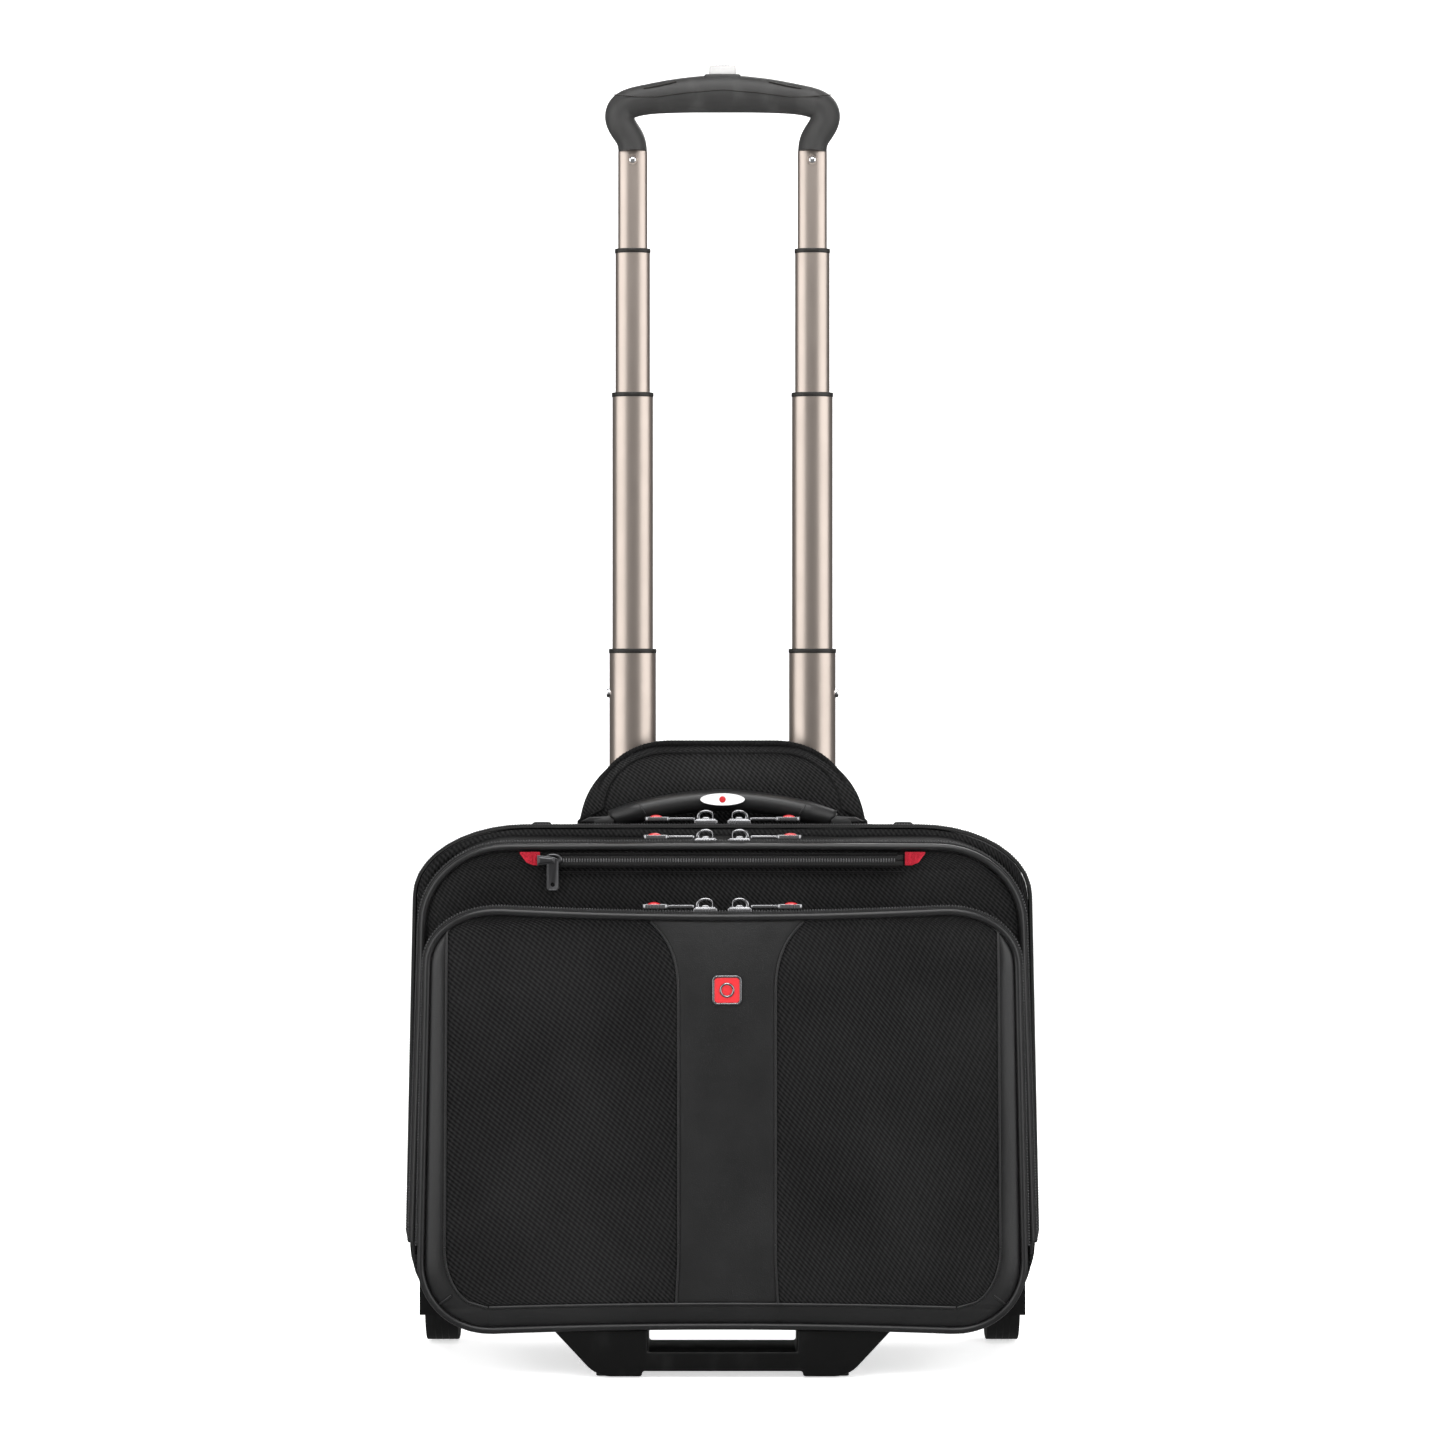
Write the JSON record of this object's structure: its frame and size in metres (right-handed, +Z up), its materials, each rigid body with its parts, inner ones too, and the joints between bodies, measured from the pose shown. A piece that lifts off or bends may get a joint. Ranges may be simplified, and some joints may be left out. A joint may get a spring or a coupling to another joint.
{
  "type": "rolling pilot flight case",
  "caption": "Soft-sided wheeled flight case with a rounded front organiser, zipped covers, a padded carry handle, a front foot and a telescopic pull handle, shown extended.",
  "frame": {"origin": "on the floor, under the middle of the case's bounding box", "axes": "+X to the right of a person facing the front, -Y out of the front, +Z up"},
  "size_m": [0.434, 0.224, 0.903],
  "materials": {
    "nylon": "black twill nylon",
    "vinyl": "black smooth vinyl",
    "board": "grey board",
    "plastic": "moulded black",
    "soft_grip": "soft touch charcoal",
    "aluminium": "champagne anodised",
    "chrome": "bright",
    "gunmetal": "dark nickel",
    "tyre": "matt rubber",
    "zip": "zip tape and coil",
    "badge_red": "red enamel",
    "badge_white": "white"
  },
  "bodies": {
    "case": {"rear_shell": "nylon", "centre_gusset": "nylon", "compartment_divider": "nylon", "front_tray": "vinyl", "bottom_board": "board", "handle_bay_panel": "board", "zip_rear": "zip", "tube_housing_left": "aluminium", "tube_housing_right": "aluminium", "bracket_top": "plastic", "bracket_foot": "plastic", "hump_front_panel": "nylon", "hump_back_panel": "nylon", "handle_anchor_left": "vinyl", "handle_anchor_right": "vinyl", "front_foot": "plastic", "axle_left": "chrome", "axle_right": "chrome", "wheel_housing_left": "plastic", "wheel_housing_right": "plastic"},
    "main_cover": {"main_cover_panel": "nylon", "zip_main": "zip", "organiser_gusset": "nylon", "cover_piping": "vinyl", "zip_slip_pocket": "zip"},
    "organiser_lid": {"organiser_lid_panel": "nylon", "zip_organiser": "zip", "lid_piping": "vinyl", "front_badge": "badge_red"},
    "stage_1": {"stage_1_left": "aluminium", "stage_1_right": "aluminium"},
    "stage_2": {"stage_2_left": "aluminium", "stage_2_right": "aluminium"},
    "stage_3": {"stage_3_left": "aluminium", "stage_3_right": "aluminium"},
    "stage_4": {"stage_4_left": "aluminium", "stage_4_right": "aluminium", "grip": "soft_grip", "button_spring": "chrome"},
    "release_button": {"release_button": "chrome"},
    "carry_handle": {"carry_handle": "vinyl", "handle_badge": "badge_white"},
    "wheel_left": {"tyre_left": "tyre", "hub_left": "plastic"},
    "wheel_right": {"tyre_right": "tyre", "hub_right": "plastic"},
    "slip_slider": {"slip_slider": "gunmetal"},
    "slip_pull": {"slip_pull": "gunmetal"},
    "organiser_left_slider": {"organiser_left_slider": "gunmetal"},
    "organiser_left_pull": {"organiser_left_pull": "chrome"},
    "organiser_right_slider": {"organiser_right_slider": "gunmetal"},
    "organiser_right_pull": {"organiser_right_pull": "chrome"},
    "main_left_slider": {"main_left_slider": "gunmetal"},
    "main_left_pull": {"main_left_pull": "chrome"},
    "main_right_slider": {"main_right_slider": "gunmetal"},
    "main_right_pull": {"main_right_pull": "chrome"},
    "rear_left_slider": {"rear_left_slider": "gunmetal"},
    "rear_left_pull": {"rear_left_pull": "chrome"},
    "rear_right_slider": {"rear_right_slider": "gunmetal"},
    "rear_right_pull": {"rear_right_pull": "chrome"}
  },
  "joints": [
    {"name": "main_cover_fold", "type": "hinge", "parent": "case", "child": "main_cover", "pos_m": [0, -0.11, 0.088], "axis": [1, 0, 0], "range_deg": [0, 35]},
    {"name": "organiser_lid_fold", "type": "hinge", "parent": "main_cover", "child": "organiser_lid", "pos_m": [0, -0.11, 0.088], "axis": [1, 0, 0], "range_deg": [0, 75]},
    {"name": "organiser_left_slide", "type": "slide", "parent": "organiser_lid", "child": "organiser_left_slider", "axis": [-1, 0, 0], "range_m": [0, 0.08]},
    {"name": "organiser_left_pull_swing", "type": "hinge", "parent": "organiser_left_slider", "child": "organiser_left_pull", "pos_m": [-0.0211, -0.099, 0.3101], "axis": [0, 1, 0], "range_deg": [0, 90]},
    {"name": "organiser_right_slide", "type": "slide", "parent": "organiser_lid", "child": "organiser_right_slider", "axis": [1, 0, 0], "range_m": [0, 0.08]},
    {"name": "organiser_right_pull_swing", "type": "hinge", "parent": "organiser_right_slider", "child": "organiser_right_pull", "pos_m": [0.0211, -0.099, 0.3101], "axis": [0, -1, 0], "range_deg": [0, 90]},
    {"name": "main_left_slide", "type": "slide", "parent": "main_cover", "child": "main_left_slider", "axis": [-1, 0, 0], "range_m": [0, 0.08]},
    {"name": "main_left_pull_swing", "type": "hinge", "parent": "main_left_slider", "child": "main_left_pull", "pos_m": [-0.0211, -0.066, 0.3551], "axis": [0, 1, 0], "range_deg": [0, 90]},
    {"name": "main_right_slide", "type": "slide", "parent": "main_cover", "child": "main_right_slider", "axis": [1, 0, 0], "range_m": [0, 0.08]},
    {"name": "main_right_pull_swing", "type": "hinge", "parent": "main_right_slider", "child": "main_right_pull", "pos_m": [0.0211, -0.066, 0.3551], "axis": [0, -1, 0], "range_deg": [0, 90]},
    {"name": "rear_left_slide", "type": "slide", "parent": "case", "child": "rear_left_slider", "axis": [-1, 0, 0], "range_m": [0, 0.065]},
    {"name": "rear_left_pull_swing", "type": "hinge", "parent": "rear_left_slider", "child": "rear_left_pull", "pos_m": [-0.0211, -0.0012, 0.3676], "axis": [0, 1, 0], "range_deg": [0, 90]},
    {"name": "rear_right_slide", "type": "slide", "parent": "case", "child": "rear_right_slider", "axis": [1, 0, 0], "range_m": [0, 0.065]},
    {"name": "rear_right_pull_swing", "type": "hinge", "parent": "rear_right_slider", "child": "rear_right_pull", "pos_m": [0.0211, -0.0012, 0.3676], "axis": [0, -1, 0], "range_deg": [0, 90]},
    {"name": "slip_slide", "type": "slide", "parent": "main_cover", "child": "slip_slider", "axis": [1, 0, 0], "range_m": [0, 0.236]},
    {"name": "slip_pull_swing", "type": "hinge", "parent": "slip_slider", "child": "slip_pull", "pos_m": [-0.119, -0.0842, 0.3412], "axis": [-1, 0, 0], "range_deg": [0, 85]},
    {"name": "stage_1_slide", "type": "slide", "parent": "case", "child": "stage_1", "axis": [0, 0, 1], "range_m": [-0.118, 0]},
    {"name": "stage_2_slide", "type": "slide", "parent": "stage_1", "child": "stage_2", "axis": [0, 0, 1], "range_m": [-0.177, 0]},
    {"name": "stage_3_slide", "type": "slide", "parent": "stage_2", "child": "stage_3", "axis": [0, 0, 1], "range_m": [-0.097, 0]},
    {"name": "stage_4_slide", "type": "slide", "parent": "stage_3", "child": "stage_4", "axis": [0, 0, 1], "range_m": [-0.069, 0]},
    {"name": "button_press", "type": "slide", "parent": "stage_4", "child": "release_button", "axis": [0, 0, -1], "range_m": [0, 0.004], "stiffness_N_per_m": 400, "springref_m": -0.004, "deforming": ["button_spring"]},
    {"name": "carry_handle_swing", "type": "hinge", "parent": "case", "child": "carry_handle", "pos_m": [0, 0.026, 0.374], "axis": [1, 0, 0], "range_deg": [-30, 30]},
    {"name": "wheel_left_spin", "type": "hinge", "parent": "case", "child": "wheel_left", "pos_m": [-0.1985, 0.08, 0.032], "axis": [1, 0, 0], "continuous": true},
    {"name": "wheel_right_spin", "type": "hinge", "parent": "case", "child": "wheel_right", "pos_m": [0.1985, 0.08, 0.032], "axis": [1, 0, 0], "continuous": true}
  ]
}
